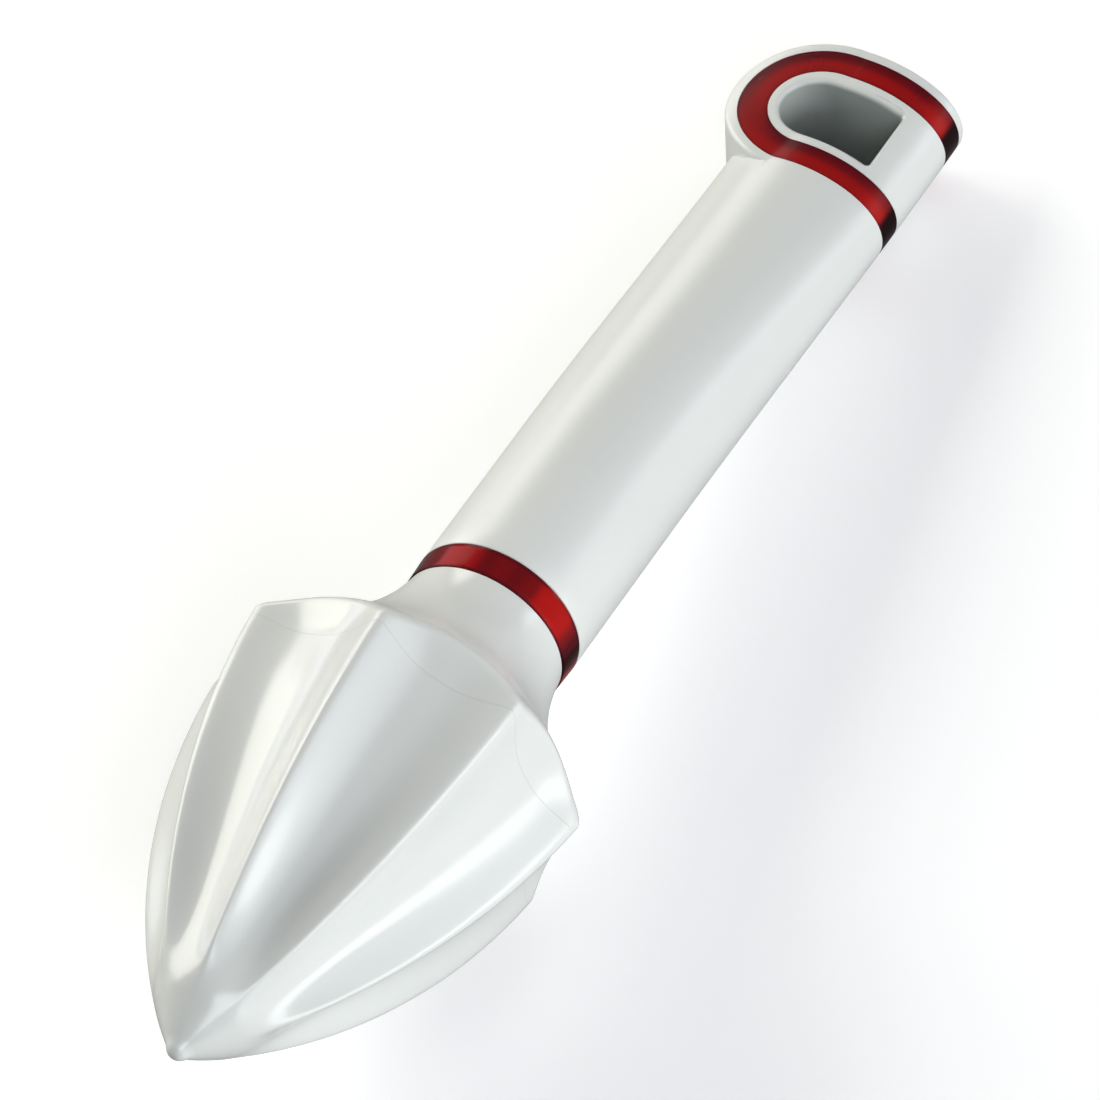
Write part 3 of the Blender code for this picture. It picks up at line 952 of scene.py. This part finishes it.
def makeRingRed(name, look):
    material, tree, shader, surface = makeRed(name, look, "ring")
    # Painted light and shade: lit patches and dark ends round the ring, darker still at its lip by
    # the handle's mouth and at its foot by the neck's seat.
    place = linkPlace(tree)
    height = linkMath(tree, "ABSOLUTE", place["Z"])
    angle = linkMath(tree, "ARCTAN2", height, place["Y"])
    turn = linkMath(tree, "DIVIDE", angle, math.pi)
    ramp = tree.nodes.new("ShaderNodeValToRGB")
    ramp.color_ramp.interpolation = "EASE"
    stops = ramp.color_ramp.elements
    for i, (degrees, bright) in enumerate(ringPaintedLight):
        share = degrees / 180.0
        if i == 0:
            stop = stops[0]
        else:
            stop = stops[-1] if i == len(ringPaintedLight) - 1 else stops.new(share)
        stop.position = share
        stop.color = (bright, bright, bright, 1.0)
    tree.links.new(turn, ramp.inputs["Fac"])
    lipStart, lipEnd = [mouthX - part for part in look["lipShadeX"]]
    footStart, footEnd = [seatX + part for part in look["footShadeX"]]
    lip = linkRange(tree, place["X"], lipStart, lipEnd, *look["lipLight"])
    foot = linkRange(tree, place["X"], footStart, footEnd, *look["footLight"])
    light = cloudy(tree, surface, look, ramp.outputs["Color"])
    light = linkMath(tree, "MULTIPLY", linkMath(tree, "MULTIPLY", light, lip), foot)
    low = linkRange(tree, light, 0.0, look["ringPaintedShadeTo"])
    dark = linkMix(tree, low, look["black"], look["deep"])
    high = linkRange(tree, light, *look["ringBright"])
    tree.links.new(linkMix(tree, high, dark, look["bright"]), shader.inputs["Base Color"])
    return material


def makeInlayRed(name, look):
    material, tree, shader, surface = makeRed(name, look, "inlay")
    # Painted light and shade across the inlay: darker towards its outer side one way, darker rims,
    # brighter legs, and painted black shade where the legs roll over the far side.
    along, ahead, place, radius = loopPlace(tree)
    turn = math.radians(look["inlayShadeTurn"])
    outer = loop["radius"] - loop["rimWall"]
    inward = linkMath(tree, "SUBTRACT", outer, radius)
    share = linkMath(tree, "DIVIDE", inward, loop["inlayWidth"])
    centred = linkMath(tree, "SUBTRACT", 0.5, share)
    alongPart = linkMath(tree, "MULTIPLY", along, math.cos(turn))
    aheadPart = linkMath(tree, "MULTIPLY", ahead, math.sin(turn))
    toDark = linkMath(tree, "ADD", alongPart, aheadPart)
    slant = linkMath(tree, "MULTIPLY", centred, linkMath(tree, "DIVIDE", toDark, radius))
    light = linkRange(tree, slant, *look["inlaySlant"], *look["inlayLight"])
    fromMiddle = linkMath(tree, "ABSOLUTE", centred)
    rim = linkRange(tree, fromMiddle, look["rimStart"], 0.5, 0.0, look["rimPaintedShade"])
    leg = linkRange(tree, place["Y"], *look["legY"], 0.0, look["legPaintedLight"])
    light = linkMath(tree, "ADD", linkMath(tree, "SUBTRACT", light, rim), leg)
    light = cloudy(tree, surface, look, light)
    colour = linkMix(tree, light, look["deep"], look["bright"])
    ends = linkRange(tree, place["Y"], *look["endY"])
    colour = linkMix(tree, ends, colour, look["black"])
    tree.links.new(colour, shader.inputs["Base Color"])
    return material


finishes = {
    cone: makeWhite("whiteCone", whitePlastic),
    neckCap: makeWhite("whiteNeck", whitePlastic),
    shell: makeWhite("whiteHandle", whitePlastic, whitePlastic["handleDuller"]),
    core: makeWhite("whiteCore", whitePlastic, whitePlastic["handleDuller"]),
    ringBand: makeRingRed("redRing", redPlastic),
    inlay: makeInlayRed("redInlay", redPlastic),
}
paintHoleShade(finishes[core], whitePlastic)
for piece, material in finishes.items():
    piece.data.materials.clear()
    piece.data.materials.append(material)
print("finishes made")


# Table, light and camera

table = {
    "colour": (0.90, 0.90, 0.90),
    "bounce": (0.34, 0.34, 0.34),   # what the plastic sees of it, as if dark cards stood round it
    "sideBounce": (0.66, 0.66, 0.66),   # the same on the right, where no card stands
    "sideStart": -0.015,        # where that side begins and is full, along Y
    "sideFull": -0.060,
    "glow": 0.36,               # a light table's own faint light
    "glowColour": (1.0, 1.0, 1.0, 1.0),
    "roughness": 0.7,
    "size": 3.0,
    "clearance": 0.0002,
}


def makeTable():
    tailLow = Vector((tailX - handle["edgeRound"], 0.0, -handle["tailHalfHeight"]))
    highest = None
    for vert in neckCap.data.vertices:
        rise = math.atan2(tailLow.z - vert.co.z, tailLow.x - vert.co.x)
        if highest is None or rise > highest[0]:
            highest = (rise, vert.co.copy())
    tilt, touch = highest
    bm = bmesh.new()
    bmesh.ops.create_grid(bm, x_segments=2, y_segments=2, size=0.5 * table["size"])
    level = Matrix.Rotation(-tilt, 3, "Y")
    bmesh.ops.rotate(bm, verts=bm.verts[:], cent=(0, 0, 0), matrix=level)
    lift = Vector((touch.x, 0.0, touch.z - table["clearance"]))
    bmesh.ops.translate(bm, verts=bm.verts[:], vec=lift)
    top = makePiece("tableTop", bm)
    material, tree, shader = newMaterial("paleTable")
    path = tree.nodes.new("ShaderNodeLightPath").outputs["Is Camera Ray"]
    side = linkRange(tree, linkPlace(tree)["Y"], table["sideStart"], table["sideFull"])
    bounce = linkMix(tree, side, table["bounce"], table["sideBounce"])
    tree.links.new(linkMix(tree, path, bounce, table["colour"]), shader.inputs["Base Color"])
    glow = linkMath(tree, "MULTIPLY", path, table["glow"])
    tree.links.new(glow, shader.inputs["Emission Strength"])
    shader.inputs["Roughness"].default_value = table["roughness"]
    shader.inputs["Emission Color"].default_value = table["glowColour"]
    top.data.materials.append(material)
    print("table tilt", round(math.degrees(tilt), 2), "touch", [round(c, 4) for c in touch])


studio = {
    "lightDistance": 1.2,
    "airColour": (0.95, 1.0, 0.97, 1.0),
    "airLight": 0.02,
}

# Azimuth and elevation in degrees from the object, and the softbox's width and height in metres.
lights = {
    "frontRight": {"azimuth": 216, "elevation": 33, "size": (0.42, 0.65), "power": (4.0, 4.15, 4.5)},
    "rightLow": {"azimuth": 268, "elevation": 6, "size": (1.20, 0.52), "power": (10.2, 10.5, 10.5)},
    "rightHigh": {"azimuth": 282, "elevation": 36, "size": (0.80, 0.80), "power": (2.7, 2.65, 2.9)},
    "rightBack": {"azimuth": 320, "elevation": 8, "size": (0.50, 0.42), "power": (2.0, 2.0, 2.15)},
    "leftMain": {"azimuth": 90, "elevation": 32, "size": (0.80, 0.60), "power": (9.1, 9.0, 8.2)},
    "leftBack": {"azimuth": 48, "elevation": 26, "size": (0.80, 0.45), "power": (4.0, 3.9, 3.7)},
    "leftLow": {"azimuth": 80, "elevation": 6, "size": (1.20, 0.42), "power": (4.4, 4.4, 4.9)},
}


def makeLights():
    distance = studio["lightDistance"]
    for name, look in lights.items():
        azimuth, elevation = math.radians(look["azimuth"]), math.radians(look["elevation"])
        level = distance * math.cos(elevation)
        height = distance * math.sin(elevation)
        place = Vector((level * math.cos(azimuth), level * math.sin(azimuth), height))
        lamp = bpy.data.lights.new(name, "AREA")
        lamp.shape = "RECTANGLE"
        lamp.size, lamp.size_y = look["size"]
        lamp.energy = max(look["power"])
        lamp.color = [part / lamp.energy for part in look["power"]]
        item = bpy.data.objects.new(name, lamp)
        item.location = place
        item.rotation_euler = (-place).to_track_quat("-Z", "Y").to_euler()
        bpy.context.scene.collection.objects.link(item)
    world = bpy.data.worlds.new("studio")
    world.use_nodes = True
    air = world.node_tree.nodes["Background"]
    air.inputs["Color"].default_value = studio["airColour"]
    air.inputs["Strength"].default_value = studio["airLight"]
    bpy.context.scene.world = world
    bpy.context.scene.view_settings.view_transform = "Standard"


photoCamera = {
    "elevation": 46.46520,      # degrees above the object's own level
    "azimuth": 59.29328,        # turn of the view from +Y towards +X
    "roll": -3.06320,
    "aimX": -6.66369e-3,        # metres from the aim point to the handle's mouth, right and up
    "aimY": -8.16348e-3,
    "distance": 1.06667,
    "pixelsPerMetre": 7745.56,  # at the mouth's distance, in a picture of 1100 pixels
    "pictureSize": 1100,
    "sensor": 36.0,
    "clipStart": 0.02,
    "clipEnd": 20.0,
}


def makeCamera():
    look = photoCamera
    elevation, azimuth, roll = [math.radians(look[key]) for key in ("elevation", "azimuth", "roll")]
    right = Vector((math.cos(azimuth), -math.sin(azimuth), 0.0))
    level = Vector((math.sin(azimuth), math.cos(azimuth), 0.0))
    rise = Vector((0.0, 0.0, 1.0))
    forward = level * math.cos(elevation) - rise * math.sin(elevation)
    up = level * math.sin(elevation) + rise * math.cos(elevation)
    rightward = right * math.cos(roll) + up * math.sin(roll)
    upward = up * math.cos(roll) - right * math.sin(roll)
    place = Vector((mouthX, 0.0, 0.0)) - look["aimX"] * rightward - look["aimY"] * upward
    place -= look["distance"] * forward
    lens = bpy.data.cameras.new("photoCamera")
    lens.sensor_fit = "HORIZONTAL"
    lens.sensor_width = look["sensor"]
    lens.lens = look["sensor"] * look["pixelsPerMetre"] * look["distance"] / look["pictureSize"]
    lens.clip_start = look["clipStart"]
    lens.clip_end = look["clipEnd"]
    camera = bpy.data.objects.new("photoCamera", lens)
    turn = Matrix((rightward, upward, -forward)).transposed().to_4x4()
    camera.matrix_world = Matrix.Translation(place) @ turn
    bpy.context.scene.collection.objects.link(camera)
    bpy.context.scene.camera = camera


makeTable()
makeLights()
makeCamera()
print("stage set")
